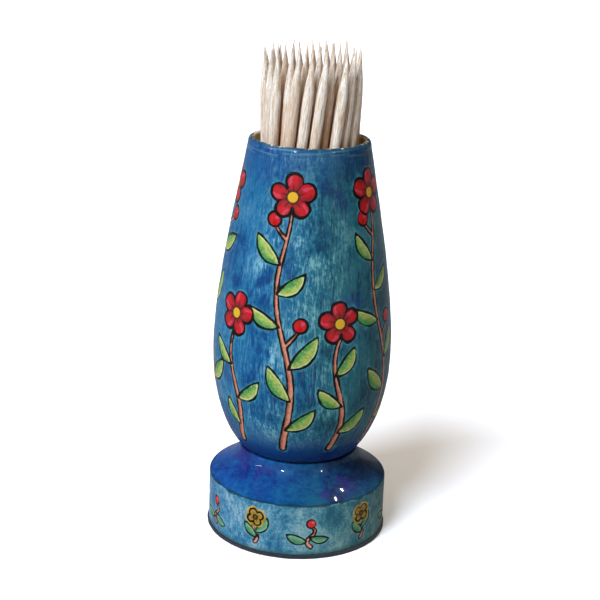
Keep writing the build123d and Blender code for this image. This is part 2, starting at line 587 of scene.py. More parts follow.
def makeWoodGrain():
    # straight grain along Z: wide soft bands, narrow fibres and a few dark pores
    inputs = {
        "Vector": "Vector",
        "Light": grey(1.0),
        "Dark": (0.5, 0.4, 0.3, 1.0),
        "Pore": (0.2, 0.12, 0.06, 1.0),
        "Band": 1.0,
        "Along": 0.06,
    }
    outputs = {"Colour": "Color", "Fibre": "Float"}
    tree, given, result = newGroup("woodGrain", "ShaderNodeTree", inputs, outputs)
    pull = combine(given["Band"], given["Band"], given["Band"] * given["Along"])
    laid = stretch(given["Vector"], pull)
    bands = noise(laid, 1.0, 3.0, 0.6, 0.4)
    fibres = noise(stretch(laid, (6.0, 6.0, 3.0)), 1.0, 4.0, 0.7)
    pores = noise(stretch(laid, (9.0, 9.0, 2.2)), 1.0, 1.0)
    tone = bands * 0.6 + fibres * 0.5
    wood = mixColour(smooth(tone, 0.4, 0.72), given["Light"], given["Dark"])
    wood = mixColour(smooth(pores, 0.68, 0.78, 0.0, 0.7), wood, given["Pore"])
    feed(result, {"Colour": wood, "Fibre": fibres})
    return tree


brushedPaint = makeBrushedPaint()
inkedShape = makeInkedShape()
woodGrain = makeWoodGrain()


# materials

ink = rgb(4, 5, 4)
edging = rgb(20, 42, 46)
primer = rgb(228, 216, 184)
bareWood = {"Light": rgb(206, 186, 146), "Dark": rgb(160, 126, 84), "Pore": rgb(96, 68, 42), "Band": 0.8}


def texturePlace(tree, kind):
    return wires(addNode(tree, "ShaderNodeTexCoord"))[kind]


def inMillimetres(place):
    return stretch(place, (1 / mm, 1 / mm, 1 / mm))


def makeMaterial(name, addLooks, *values):
    # looks that follow from the place on the object, in millimetres
    material = bpy.data.materials.new(name)
    material.use_nodes = True
    tree = material.node_tree
    spot = inMillimetres(texturePlace(tree, "Object"))
    feed(tree.nodes["Principled BSDF"].inputs, addLooks(spot, *values))
    return material


def readField(tree, name, part="Fac"):
    return wires(addNode(tree, "ShaderNodeAttribute", attribute_name=name))[part]


def bump(height, depth):
    return add(height.tree, "ShaderNodeBump", {"Height": height, "Distance": depth * mm})


def sideColoursAndShade(spot, sides):
    # the left side's three colours turn into the right side's across the piece; the right side's are
    # greener, and darker as painted shade away from the key light
    across = noise(spot, 0.07, 2.0) * 16.0 + split(spot)["X"]
    share = smooth(across, sides["from"], sides["to"])
    return {name: mixColour(share, *sides[name]) for name in ("Deep", "Middle", "Pale")}


def shadeStem(spot, field, colours):
    streaks = noise(stretch(spot, (2.4, 2.4, 0.5)), 1.0, 3.0)
    low = smooth(streaks * 1.2 + field["Z"], 0.4, 1.3)
    brown = mixColour(low, colours["stem"], colours["stemDark"])
    blots = smooth(noise(spot, 0.9, 4.0, 0.7), 0.45, 0.7, 0.0, 0.6)
    return mixColour(blots, brown, colours["stemDark"])


def shadeLeaf(spot, field, colours):
    # green, with a yellow-green stripe down one half and a darker base
    ragged = noise(spot, 0.7, 4.0, 0.7) * 1.6 - 0.8
    across = field["Z"] + ragged
    stripe = smooth(across, -0.6, 0.25) * smooth(across, 0.6, 1.3, 0.9, 0.0)
    base = mixColour(smooth(field["Y"], -0.2, -1.0), colours["green"], colours["dark"])
    lit = mixColour(stripe, base, colours["yellow"])
    lit = mixColour(smooth(noise(spot, 1.6, 4.0, 0.7), 0.42, 0.7, 0.0, 0.55), lit, colours["dark"])
    specks = smooth(noise(stretch(spot, (1.0, 1.0, 0.7)), 2.1, 3.0, 0.7), 0.56, 0.68, 0.0, 0.5)
    lit = mixColour(specks, lit, colours["leafEdge"])
    inside = abs(field["X"] + 0.36 + ragged * 0.16)
    bare = smooth(inside, 0.03, 0.16, 0.75, 0.0) * smooth(across, -0.4, 0.4)
    return mixColour(bare, lit, colours["leafEdge"])


def shadeBerry(spot, field, colours):
    # a pale lick towards the upper right
    right = field["Y"] - 0.35
    up = field["Z"] - 0.3
    away = right * right + up * up
    return mixColour(smooth(away, 0.03, 0.12, 0.8, 0.0), colours["berry"], colours["berryPale"])


def shadeBlossom(spot, field, colours):
    # darker towards the eye and along one side of a petal, with a pale lick along the other
    flow = noise(spot, 0.9, 3.0)
    heart = smooth(flow * 1.6 + field["Y"], 3.6, 2.0, 0.0, 0.75)
    red = mixColour(heart, colours["petal"], colours["petalDark"])
    across = flow * 0.9 + readField(spot.tree, "petalSide")
    red = mixColour(smooth(across, -0.1, -0.7, 0.0, 0.6), red, colours["petalDark"])
    lick = smooth(abs(across - 1.2), 0.12, 0.4, 0.6, 0.0) * smooth(field["Y"], 2.0, 2.8)
    return mixColour(lick, red, colours["petalPale"])


def drawShapes(spot, ground, colours, shapes):
    # each shape is laid over the ones before it, on a ground that is paler close to the drawing
    fields = {name: split(readField(spot.tree, name, "Vector")) for name, *_ in shapes}
    closest = farAway
    for field in fields.values():
        closest = calc("MINIMUM", field["X"], closest)
    loose = noise(spot, 0.6, 3.0) * 2.4 + (closest - 1.2)
    colour = mixColour(smooth(loose, 0.0, 0.9, 0.42, 0.0), ground, colours["halo"])
    relief = 0.0
    for name, fill, spill, lineWidth in shapes:
        inputs = {
            "Vector": spot,
            "Distance": fields[name]["X"],
            "Under": colour,
            "Fill": fill(spot, fields[name], colours),
            "Ink": ink,
            "Spill": spill,
            "Line": lineWidth,
        }
        drawn = useGroup(inkedShape, inputs)
        colour = drawn["Colour"]
        relief = calc("MAXIMUM", relief, drawn["Inked"] * 0.5 + drawn["Filled"])
    return colour, relief


def drawBlossomLines(colour, eyeSize, colours):
    # dark lines between petals and along them, and an eye with a dark rim
    field = split(readField(colour.tree, "blossom", "Vector"))
    inside = smooth(field["X"], -0.25, -0.05, 1.0, 0.0)
    outOfEye = smooth(field["Y"], eyeSize, eyeSize + 0.1)
    between = smooth(field["Z"], 0.12, 0.34, 0.92, 0.0)
    colour = mixColour(between * inside * outOfEye, colour, ink)
    colour = mixColour((1.0 - outOfEye) * inside, colour, colours["eye"])
    rim = smooth(abs(field["Y"] - eyeSize), 0.08, 0.2, 0.9, 0.0)
    colour = mixColour(rim * inside, colour, ink)
    vein = smooth(abs(readField(colour.tree, "petalSide")), 0.04, 0.13, 0.8, 0.0)
    reach = smooth(field["Y"], 1.9 * eyeSize, 2.3 * eyeSize, 1.0, 0.0)
    return mixColour(vein * reach * outOfEye * inside, colour, ink)


def paintedLooks(spot, values, addGround, shapes, colours):
    # lacquered paint over wood, which stays bare beyond an irregular edge
    ground, strokes = addGround(spot)
    colour, relief = drawShapes(spot, ground, colours, shapes)
    colour = drawBlossomLines(colour, values["eyeSize"], colours)
    gap = readField(spot.tree, "paintEdge")
    edge = gap + (noise(spot, 0.7, 3.0) - 0.5) * values["edgeShake"]
    if "edgeTone" in values:
        colour = mixColour(smooth(edge, -1.5, -0.7, 0.0, 0.7), colour, values["edgeTone"])
    worn = smooth(noise(spot, 1.0, 4.0, 0.75), 0.5, 0.62, 0.0, values["wornEdge"])
    edge = edge + worn * smooth(gap, -1.3, -0.75)
    painted = smooth(edge, -0.05, 0.06, 1.0, 0.0)
    broken = smooth(noise(spot, 0.45, 2.0), 0.42, 0.56)
    colour = mixColour(smooth(abs(edge + 0.1), 0.04, 0.17, 1.0, 0.0) * broken, colour, edging)
    wood = useGroup(woodGrain, {"Vector": spot, **bareWood})
    bare = mixColour(smooth(gap, -1.4, 0.5, 0.7, 0.0), wood["Colour"], primer)
    height = relief * 0.8 + strokes * 0.8 + painted * 1.2
    return {
        "Base Color": mixColour(painted, bare, colour),
        "Roughness": strokes * 0.15 + 0.58 + painted * -0.2,
        "Coat Weight": painted * values["lacquer"],
        "Coat Roughness": 0.05,
        "Specular IOR Level": 0.04,
        "Normal": bump(height, values["reliefDepth"]),
    }


# vase

vaseValues = {
    "segments": 360,
    "ringStep": 0.31,
    "unevenness": 0.22,
    "lumpSize": 7.0,
    "rimRound": 0.35,
    "outlineDegree": 12,
    "neckEase": 4.0,
    "paintUnder": 3.6,
    "paintOver": 0.62,
    "edgeShake": 0.5,
    "wornEdge": 1.3,
    "edgeTone": rgb(14, 58, 72),
    "paleZones": 3,
    "eyeSize": 1.15,
    "reliefDepth": 0.05,
    "lacquer": 0.15,
    "rimWear": 0.16,
    "rimSpan": 1.8,
    "rimSeed": 2,
    "rimWaves": (2, 3, 5, 8, 13, 19),
}

vaseColours = {
    "from": -2.0,
    "to": 17.0,
    # each pair is the left side's colour and the right side's, which is greener paint and darker as painted
    # shade
    "Deep": (rgb(5, 54, 100), rgb(12, 52, 68)),
    "Middle": (rgb(20, 90, 128), rgb(29, 86, 97)),
    "Pale": (rgb(124, 170, 178), rgb(92, 143, 138)),
    "night": rgb(18, 28, 104),
    "halo": rgb(70, 140, 150),
    "green": rgb(64, 132, 57),
    "dark": rgb(24, 86, 50),
    "yellow": rgb(160, 170, 72),
    "leafEdge": rgb(192, 198, 148),
    "stem": rgb(198, 128, 100),
    "stemDark": rgb(136, 66, 42),
    "petal": rgb(170, 4, 6),
    "petalDark": rgb(88, 2, 5),
    "petalPale": rgb(194, 60, 86),
    "berry": rgb(170, 4, 6),
    "berryPale": rgb(194, 60, 86),
    "eye": rgb(196, 150, 34),
}

vaseShapes = [
    ("stem", shadeStem, 0.0, 0.18),
    ("leaf", shadeLeaf, 0.06, 0.21),
    ("berry", shadeBerry, 0.0, 0.22),
    ("blossom", shadeBlossom, 0.05, 0.25),
]


def paleZones(spot):
    # broad upright zones where more pale strokes lie; the one just left of the front is partly a painted
    # reflection, and fewer lie low at the neck, where the neck's painted shade is
    place = split(spot)
    turn = calc("ARCTAN2", place["X"], place["Y"] * -1.0)
    wandering = noise(spot, 0.06, 2.0) * 2.4 - 1.15
    wave = calc("COSINE", turn * vaseValues["paleZones"] + wandering)
    level = smooth(place["Z"], 62.0, 80.0, 1.0, 0.45) * smooth(place["Z"], 21.0, 30.0)
    return smooth(wave, -0.6, 0.7, 0.25, 1.2) * level


def vaseGround(spot):
    # brushed blue: bluer on the left, greener and darker on the right, night blue at the neck as painted
    # shade under the belly, and a painted sheen just under the rim
    inputs = {"Vector": spot, "Stroke": (0.85, 0.85, 0.13), "Patch Size": 12.0, "Contrast": 1.25}
    inputs.update(sideColoursAndShade(spot, vaseColours), Paleness=paleZones(spot))
    paint = useGroup(brushedPaint, inputs)
    height = split(spot)["Z"]
    wavy = noise(spot, 0.12, 3.0) * 9.0 + height
    # painted shade: the neck under the belly turns night blue
    neckPaintedShade = smooth(wavy, 24.0, 32.0, 0.8, 0.0)
    rimShade = smooth(wavy, 78.0, 88.0, 0.0, 0.45)
    patches = smooth(noise(spot, 0.1, 3.0), 0.56, 0.7, 0.0, 0.5)
    depth = calc("MAXIMUM", calc("MAXIMUM", neckPaintedShade, rimShade), patches)
    uneven = calc("MULTIPLY_ADD", paint["Strokes"], -1.1, 1.4, clamp=True)
    colour = mixColour(depth * uneven, paint["Colour"], vaseColours["night"])
    # painted sheen: pale horizontal streaks just under the rim stand in for the lacquer's reflection there
    bands = noise(stretch(spot, (0.2, 0.2, 2.2)), 1.0, 2.0, 0.5)
    paintedRimSheen = smooth(bands, 0.42, 0.7, 0.0, 0.4) * smooth(height, 80.5, 83.0)
    return mixColour(paintedRimSheen, colour, inputs["Pale"]), paint["Strokes"]


def makeVaseOutline():
    # the outline, and the rings where the painted wall starts and where the rim is highest
    radii, heights = frameRows("vase")
    low, top = heights.min(), heights.max()
    hole = radii.min()
    tenon = radii[heights < low + tiny].max()
    neck = heights[radii > tenon + tiny].min()
    rimRound = vaseValues["rimRound"]
    bore = radii[heights > top - rimRound - tiny].min()
    rimInner = bore + rimRound
    rimOuter = radii[heights > top - 0.1 * tiny].max()
    wellFloor = leastAt(heights, radii, bore)
    guide = leastAt(radii, heights, wellFloor)
    cavityFloor = leastAt(heights, radii, guide)
    inFloor = (heights > low + tiny) & (heights < cavityFloor - tiny) & (radii < tenon - tiny)
    groove, grooveLow, grooveTop = radii[inFloor].max(), heights[inFloor].min(), heights[inFloor].max()
    wall = (radii > tenon + tiny) & (heights < top - rimRound)
    fit = np.polynomial.Polynomial.fit(heights[wall], radii[wall], vaseValues["outlineDegree"])
    wallTop = heights[wall].max()
    up = np.linspace(neck, wallTop, round((wallTop - neck) / vaseValues["ringStep"]))
    outside = np.stack([fit(up), up], axis=1)
    easing = np.clip((up - neck) / vaseValues["neckEase"], 0, 1)
    over = np.linspace(0, math.pi / 2, 8)[1:]
    rimX = rimOuter + (outside[-1, 0] - rimOuter) * np.cos(over)
    rim = np.stack([rimX, wallTop + (top - wallTop) * np.sin(over)], axis=1)
    inside = walls(
        (bore, top - rimRound),
        (bore, wellFloor),
        (guide, wellFloor),
        (guide, cavityFloor),
        (hole, cavityFloor),
        (hole, grooveTop),
        (groove, grooveTop),
        (groove, grooveLow),
        (hole, grooveLow),
        (hole, low),
    )
    outline, marks = joinOutline(
        [
            (walls((hole, low), (tenon, low), (tenon, neck), outside[0])[:-1], 0),
            (outside, easing),
            (rim, 1),
            (corner((rimInner, top - rimRound), rimRound, 90, 180), 1),
            (inside[1:], 0),
        ]
    )
    return outline, marks[1], marks[3] - 1


# kinds: the first sprig's turn, its size and its bends, and where leaves and berries grow on it
sprigValues = {
    "seed": 11,
    "count": 5,
    "kinds": [
        {
            "turn": -12.0,
            "height": 49.0,
            "sway": 2.3,
            "waves": 1.0,
            "leaves": (0.1, 0.24, 0.38, 0.55, 0.68, 0.8),
            "leafLength": 7.7,
            "berries": (0.47, 0.9),
        },
        {
            "turn": 24.0,
            "height": 24.5,
            "sway": 1.7,
            "waves": 0.7,
            "leaves": (0.16, 0.42, 0.7),
            "leafLength": 7.0,
            "berries": (),
        },
    ],
    "foot": 5.0,
    "stemHalf": 0.72,
    "leafTilt": (38, 58),
    "leafHalf": (0.17, 0.21),
    "leafBend": 0.7,
    "stalkTilt": 62,
    "stalkLength": (3.4, 4.2),
    "stalkHalf": (0.42, 0.3),
    "berryRadius": 1.45,
    "blossomSize": 4.3,
    "petals": 5,
}


def pathPlace(path, share):
    # a point of a path, and how far the path leans there from upright
    place = share * (len(path) - 1)
    number = min(int(place), len(path) - 2)
    run = path[number + 1] - path[number]
    return path[number] + run * (place - number), math.degrees(math.atan2(run[0], run[1]))


def drawSprig(layers, spots, chance, kind):
    # a stem that winds up to a blossom, with leaves on both sides and berries on short stalks
    values = sprigValues
    up = np.linspace(0, 1, 34)
    winding = np.sin(2 * math.pi * (kind["waves"] * up + chance.uniform(0, 0.12)))
    across = kind["sway"] * winding * np.sin(math.pi * up) ** 0.6
    path = np.stack([across, values["foot"] + up * kind["height"]], axis=1)
    half = values["stemHalf"]
    drawStem(layers["stem"], spots, path, np.linspace(half, 0.45 * half, len(path)))
    side = 1 if chance.random() < 0.5 else -1
    for share in kind["leaves"]:
        spot, lean = pathPlace(path, share)
        length = kind["leafLength"] * chance.uniform(0.88, 1.14)
        tilt = lean + side * chance.uniform(*values["leafTilt"])
        half = length * chance.uniform(*values["leafHalf"])
        drawLeaf(layers["leaf"], spots, spot, tilt, length, half, side * values["leafBend"])
        side = -side
    for share in kind["berries"]:
        spot, lean = pathPlace(path, share)
        out = math.radians(lean + side * values["stalkTilt"])
        tip = np.array([math.sin(out), math.cos(out)]) * chance.uniform(*values["stalkLength"])
        ways = np.linspace(0, 1, 6)[:, None]
        stalk = spot + tip * ways + np.array([0, 0.9]) * ways**2
        drawStem(layers["stem"], spots, stalk, np.linspace(*values["stalkHalf"], 6))
        drawBerry(layers["berry"], spots, stalk[-1] + (0, 0.7), values["berryRadius"])
        side = -side
    size = values["blossomSize"] * chance.uniform(0.94, 1.06)
    turn = 90 + chance.uniform(-20, 20)
    centre = path[-1] + (0, 0.8 * size)
    drawBlossom(layers["blossom"], spots, chance, centre, size, values["petals"], turn)


def paintVase(piece, outline, start, rimEdge):
    surface = readSurface(piece, outline, start)
    chance = np.random.default_rng(sprigValues["seed"])
    layers = emptyLayers(surface)
    for kind in sprigValues["kinds"]:
        for number in range(sprigValues["count"]):
            spots = chart(surface, kind["turn"] + 360 / sprigValues["count"] * number)
            drawSprig(layers, spots, chance, kind)
    keepLayers(piece, layers)
    way = runLength(outline)
    rim = way[rimEdge] - way[start]
    under = -vaseValues["paintUnder"] - surface["way"]
    keepField(piece, "paintEdge", np.maximum(under, surface["way"] - rim - vaseValues["paintOver"]))
    wearRim(piece, surface, rim)


def wearRim(piece, surface, rim):
    # the rim isn't quite level: it dips by a little here and there
    chance = np.random.default_rng(vaseValues["rimSeed"])
    dip = np.zeros(len(surface["turn"]))
    for waves in vaseValues["rimWaves"]:
        dip += np.sin(np.radians(surface["turn"] * waves) + chance.uniform(0, 2 * math.pi)) / waves**0.5
    dip = vaseValues["rimWear"] * (0.5 + 0.5 * dip / np.abs(dip).max())
    fade = np.clip(1 - np.abs(surface["way"] - rim - 0.5) / vaseValues["rimSpan"], 0, 1)
    spots = readSpots(piece.data)
    spots[:, 2] -= dip * fade
    piece.data.vertices.foreach_set("co", (spots * mm).ravel())
    piece.data.update()


def makeVase():
    outline, start, rimEdge = makeVaseOutline()
    looks = (vaseValues, vaseGround, vaseShapes, vaseColours)
    material = makeMaterial("vasePaint", paintedLooks, *looks)
    piece = turnOutline("vase_painted", outline, vaseValues, material)
    paintVase(piece, outline, start, rimEdge)
    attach(piece, "vase")
    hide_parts("vase")
    print("vase:", len(outline), "rings,", len(piece.data.polygons), "faces")


# foot

footValues = {
    "segments": 320,
    "ringStep": 0.36,
    "unevenness": 0.1,
    "lumpSize": 6.0,
    "bottomRound": 0.25,
    "edgeRound": 0.35,
    "lipRound": 0.3,
    "lipCut": 0.12,
    "coveLength": 11.0,
    "paintUnder": 0.8,
    "edgeShake": 0.3,
    "wornEdge": 0.0,
    "eyeSize": 0.5,
    "reliefDepth": 0.05,
    "lacquer": 0.15,
}

footColours = {
    "from": -14.0,
    "to": 26.0,
    "Deep": (rgb(22, 80, 120), rgb(36, 84, 96)),
    "Middle": (rgb(58, 116, 142), rgb(62, 112, 116)),
    "Pale": (rgb(130, 153, 170), rgb(110, 146, 138)),
    "halo": rgb(114, 154, 162),
    "leafEdge": rgb(120, 156, 128),
    "green": rgb(58, 114, 78),
    "dark": rgb(24, 76, 54),
    "yellow": rgb(92, 142, 92),
    "stem": rgb(206, 132, 108),
    "stemDark": rgb(146, 80, 60),
    "petal": rgb(190, 152, 36),
    "petalDark": rgb(124, 92, 18),
    "petalPale": rgb(214, 190, 92),
    "berry": rgb(186, 30, 26),
    "berryPale": rgb(206, 96, 86),
    "eye": rgb(96, 64, 16),
    "violet": rgb(40, 24, 98),
    "line": rgb(12, 44, 48),
    "bottom": rgb(44, 84, 76),
}

shoulderColours = {
    "from": -19.0,
    "to": 20.0,
    # each pair is the left side's colour and the right side's, which is darker as painted shade
    "Deep": (rgb(8, 32, 102), rgb(8, 28, 64)),
    "Middle": (rgb(6, 62, 128), rgb(11, 54, 88)),
    "Pale": (rgb(12, 80, 140), rgb(20, 74, 98)),
}

footShapes = [
    ("stem", shadeStem, 0.0, 0.14),
    ("leaf", shadeLeaf, 0.12, 0.15),
    ("berry", shadeBerry, 0.0, 0.15),
    ("blossom", shadeBlossom, 0.42, 0.16),
]


def footGround(spot):
    # a pale mottled band round the side, and a deep blue shoulder above a thin dark line; both turn greener
    # to the right, and the shoulder also darker there as painted shade
    inputs = {"Vector": spot, "Stroke": (0.62, 0.62, 0.46), "Patch Size": 7.0, "Contrast": 1.35}
    inputs.update(sideColoursAndShade(spot, footColours))
    side = useGroup(brushedPaint, inputs)
    inputs = {"Vector": spot, "Stroke": (0.22, 0.22, 0.4), "Patch Size": 9.0, "Contrast": 1.3}
    inputs.update(sideColoursAndShade(spot, shoulderColours))
    shoulder = useGroup(brushedPaint, inputs)
    patches = smooth(noise(spot, 0.16, 2.0), 0.55, 0.7, 0.0, 0.5)
    top = mixColour(patches, shoulder["Colour"], footColours["violet"])
    edge = noise(spot, 0.5, 2.0) * 0.5 + (readField(spot.tree, "sideEdge") - 0.25)
    colour = mixColour(smooth(edge, -0.05, 0.05), side["Colour"], top)
    heavy = smooth(noise(spot, 0.35, 3.0), 0.4, 0.65, 0.1, 0.34)
    colour = mixColour(smooth(abs(edge) - heavy, -0.06, 0.1, 0.85, 0.0), colour, footColours["line"])
    low = smooth(split(spot)["Z"], 0.9, 2.2, 0.55, 0.0)
    return mixColour(low, colour, footColours["bottom"]), side["Strokes"]


def makeFootOutline():
    # the outline, and the rings where the side starts, where it ends and where the lip ends
    radii, heights = frameRows("base_foot")
    low, top, wide = heights.min(), heights.max(), radii.max()
    lip, socket = radii[heights > top - tiny].max(), radii[heights > top - tiny].min()
    socketFloor = leastAt(heights, radii, socket)
    postHole = leastAt(radii, heights, socketFloor)
    postFloor = leastAt(heights, radii, postHole)
    screwHole = leastAt(radii, heights, postFloor)
    screwHead = radii[heights < low + tiny].min()
    sinkTop = leastAt(heights, radii, screwHole)
    sideTop = heights[radii > wide - tiny].max()
    onTop = (heights > sideTop + tiny) & (radii > lip - tiny)
    coveFoot = heights[onTop & (radii > wide - footValues["edgeRound"] - tiny)].max()
    coveRadius = radii[onTop & (np.abs(heights - coveFoot) < tiny)].max()
    cove = onTop & (heights > coveFoot - tiny)
    ease = np.sqrt(np.clip((radii[cove] - lip) / (coveRadius - lip), 0, 1))
    fit = np.polyfit(ease, heights[cove], 2)
    share = np.linspace(1, 0, round(footValues["coveLength"] / footValues["ringStep"]))
    coveLine = np.stack([lip + (coveRadius - lip) * share**2, np.polyval(fit, share)], axis=1)
    lipRound, lipCut = footValues["lipRound"], footValues["lipCut"]
    coveLine = coveLine[coveLine[:, 1] < top - lipRound - 5 * tiny]
    turn = np.linspace(0, 1, 7)[1:]
    edgeX = wide - (wide - coveRadius) * turn**1.5
    edge = np.stack([edgeX, sideTop + (coveLine[0, 1] - sideTop) * (1 - (1 - turn) ** 1.5)], axis=1)
    bottomRound = footValues["bottomRound"]
    inside = walls(
        (socket, top - lipCut),
        (socket, socketFloor),
        (postHole, socketFloor),
        (postHole, postFloor),
        (screwHole, postFloor),
        (screwHole, sinkTop),
        (screwHead, low),
    )
    outline, marks = joinOutline(
        [
            (line((screwHead, low), (wide - bottomRound, low)), 0),
            (corner((wide - bottomRound, low + bottomRound), bottomRound, -90, 0, 4), 0),
            (line((wide, low + bottomRound), (wide, sideTop), footValues["ringStep"])[1:], 1),
            ((wide, sideTop), 0.3),
            (edge, 0),
            (coveLine[1:], 0.6),
            (corner((lip - lipRound, top - lipRound), lipRound, 0, 90, 5), 0),
            ((socket + lipCut, top), 0),
            (inside, 0),
        ]
    )
    return outline, marks[2] - 1, marks[4] + 3, marks[7]


bandValues = {
    "seed": 5,
    "sprouts": 10,
    "firstTurn": 10.0,
    "foot": 1.6,
    "height": 4.6,
    "sway": (0.5, 0.9),
    "stemHalf": (0.42, 0.24),
    "leaves": ((0.25, -1), (0.45, 1)),
    "leafLength": (3.9, 4.7),
    "leafTilt": (52, 70),
    "leafHalf": 0.2,
    "leafBend": 0.35,
    "berryRadius": 0.95,
    "blossomSize": 1.8,
    "petals": 4,
}


def drawSprout(layers, spots, chance, odd):
    # a short stem with two leaves, under a blossom or a berry
    values = bandValues
    sway = chance.uniform(*values["sway"]) * (1 if odd else -1)
    up = np.linspace(0, 1, 12)
    path = np.stack([sway * np.sin(2 * math.pi * up), values["foot"] + values["height"] * up], axis=1)
    drawStem(layers["stem"], spots, path, np.linspace(*values["stemHalf"], len(path)))
    for share, side in values["leaves"]:
        spot, lean = pathPlace(path, share)
        length = chance.uniform(*values["leafLength"])
        tilt = lean + side * chance.uniform(*values["leafTilt"])
        half = length * values["leafHalf"]
        drawLeaf(layers["leaf"], spots, spot, tilt, length, half, side * values["leafBend"])
    if odd:
        turn = chance.uniform(20, 70)
        centre = path[-1] + (0, 0.9)
        drawBlossom(layers["blossom"], spots, chance, centre, values["blossomSize"], values["petals"], turn)
    else:
        drawBerry(layers["berry"], spots, path[-1] + (0, 0.6), values["berryRadius"])


def paintFoot(piece, outline, start, sideEdge, lipEdge):
    surface = readSurface(piece, outline, start)
    chance = np.random.default_rng(bandValues["seed"])
    layers = emptyLayers(surface)
    for number in range(bandValues["sprouts"]):
        spots = chart(surface, bandValues["firstTurn"] + 360 / bandValues["sprouts"] * number)
        drawSprout(layers, spots, chance, number % 2 == 1)
    keepLayers(piece, layers)
    way = runLength(outline) - runLength(outline)[start]
    keepField(piece, "sideEdge", surface["way"] - way[sideEdge])
    under = -footValues["paintUnder"] - surface["way"]
    keepField(piece, "paintEdge", np.maximum(under, surface["way"] - way[lipEdge]))


def makeFoot():
    outline, start, sideEdge, lipEdge = makeFootOutline()
    looks = (footValues, footGround, footShapes, footColours)
    material = makeMaterial("footPaint", paintedLooks, *looks)
    piece = turnOutline("foot_painted", outline, footValues, material)
    paintFoot(piece, outline, start, sideEdge, lipEdge)
    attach(piece, "base")
    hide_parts("base_foot")
    print("foot:", len(outline), "rings,", len(piece.data.polygons), "faces")


# felt pad

padValues = {
    "segments": 240,
    "unevenness": 0.14,
    "lumpSize": 1.6,
    "edgeRound": 0.3,
    "ringStep": 1.5,
    "deep": rgb(5, 9, 18),
    "worn": rgb(24, 34, 52),
}


def feltLooks(spot):
    fibres = noise(spot, 6.0, 5.0, 0.75, 1.4)
    clumps = noise(spot, 0.9, 3.0)
    worn = smooth(clumps * 0.5 + fibres * 0.6, 0.35, 0.8)
    return {
        "Base Color": mixColour(worn, padValues["deep"], padValues["worn"]),
        "Roughness": 0.95,
        "Sheen Weight": 0.08,
        "Sheen Roughness": 0.5,
        "Normal": bump(fibres * 0.8 + clumps, 0.25),
    }


def makePad():
    radii, heights = frameRows("base_pad")
    wide, low, top = radii.max(), heights.min(), heights.max()
    edge, step = padValues["edgeRound"], padValues["ringStep"]
    outline, _ = joinOutline(
        [
            (line((0, low), (wide - edge, low), step), 0),
            (corner((wide - edge, low + edge), edge, -90, 0, 4), 1),
            (corner((wide - edge, top - edge), edge, 0, 90, 4), 1),
            (walls((wide - edge, top), (0, top), step=step)[1:], 0),
        ]
    )
    piece = turnOutline("felt_pad", outline, padValues, makeMaterial("darkFelt", feltLooks))
    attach(piece, "base")
    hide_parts("base_pad")
    print("felt pad made")


# post, tray, screws and ring

postValues = {"segments": 96, "unevenness": 0.03, "lumpSize": 3.0, "chamfer": 0.4, "ringStep": 0.8}
steelColours = (rgb(150, 150, 154), rgb(205, 205, 208))
rubberColours = (rgb(26, 26, 27), rgb(60, 58, 56))


def woodLooks(spot):
    # bare turned wood: straight grain with faint tool rings
    wood = useGroup(woodGrain, {"Vector": spot, **bareWood})
    rings = calc("SINE", split(spot)["Z"] * 9.0)
    return {
        "Base Color": wood["Colour"],
        "Roughness": wood["Fibre"] * 0.25 + 0.45,
        "Normal": bump(rings * 0.15 + wood["Fibre"], 0.04),
    }


def makePost(material):
    radii, heights = frameRows("post")
    wide, low, top = radii.max(), heights.min(), heights.max()
    hole = radii[heights > top - tiny].min()
    inside = (radii < hole + tiny) & (heights > low + tiny) & (heights < top - tiny)
    lowHole, topHole = heights[inside].min(), heights[inside].max()
    cut = postValues["chamfer"]
    lowEdge, topEdge = (wide, low + cut), (wide, top - cut)
    outline, _ = joinOutline(
        [
            (walls((0, lowHole), (hole, lowHole), (hole, low), (wide - cut, low), lowEdge)[:-1], 0),
            (line(lowEdge, topEdge, postValues["ringStep"]), 1),
            (walls(topEdge, (wide - cut, top), (hole, top), (hole, topHole), (0, topHole)), 0),
        ]
    )
    piece = turnOutline("post_dowel", outline, postValues, material)
    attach(piece, "base")
    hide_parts("post")
    print("post made")


def steelLooks(spot):
    brushed = noise(stretch(spot, (2.0, 2.0, 14.0)), 1.0, 4.0)
    return {
        "Base Color": mixColour(brushed, *steelColours),
        "Metallic": 1.0,
        "Roughness": brushed * 0.25 + 0.25,
        "Normal": bump(brushed, 0.02),
    }


def rubberLooks(spot):
    dust = noise(spot, 2.5, 4.0)
    return {
        "Base Color": mixColour(smooth(dust, 0.4, 0.8), *rubberColours),
        "Roughness": dust * 0.3 + 0.55,
        "Normal": bump(dust, 0.03),
    }


def dressNode(name, material):
    for slot in frame["nodes"][name].material_slots:
        slot.material = material


# toothpicks

# sizes: each in metres or as a share, with the least and the greatest part of it that a pick takes
pickValues = {
    "seed": 3,
    "sizes": {
        "Radius": (1.05 * mm, 0.985, 1.0),
        "Taper": (10.0 * mm, 0.92, 1.0),
        "Point": (0.075 * mm, 0.7, 1.0),
        "Splinter": (0.9 * mm, 0.1, 1.0),
        "Drift": (0.42 * mm, -1, 1),
        "Flatness": (0.14, -1, 1),
    },
    "fibreDepth": 0.03,
    # painted shade between the picks: the radii where it fades out, the heights where it fades towards the
    # points, and its tone
    "bundleShadeSpan": (6.4, 10.0),
    "shadeFadeSpan": (86.0, 97.0),
    "bundleShadeTone": rgb(212, 158, 110),
    "tint": rgb(176, 132, 86),
    "split": rgb(84, 48, 30),
    "wood": {
        "Light": rgb(246, 247, 238),
        "Dark": rgb(188, 149, 102),
        "Pore": rgb(98, 46, 24),
        "Band": 3.2,
        "Along": 0.07,
    },
}


def paintedShadeInBundle(spot):
    # painted shade: the wood is browner in the middle of the bundle, where shade falls between the picks,
    # and this fades outside and towards the points
    place = split(spot)
    away = place["X"] * place["X"] + place["Y"] * place["Y"]
    inner = smooth(calc("SQRT", away), *pickValues["bundleShadeSpan"], 1.0, 0.0)
    return inner * smooth(place["Z"], *pickValues["shadeFadeSpan"], 1.0, 0.2)


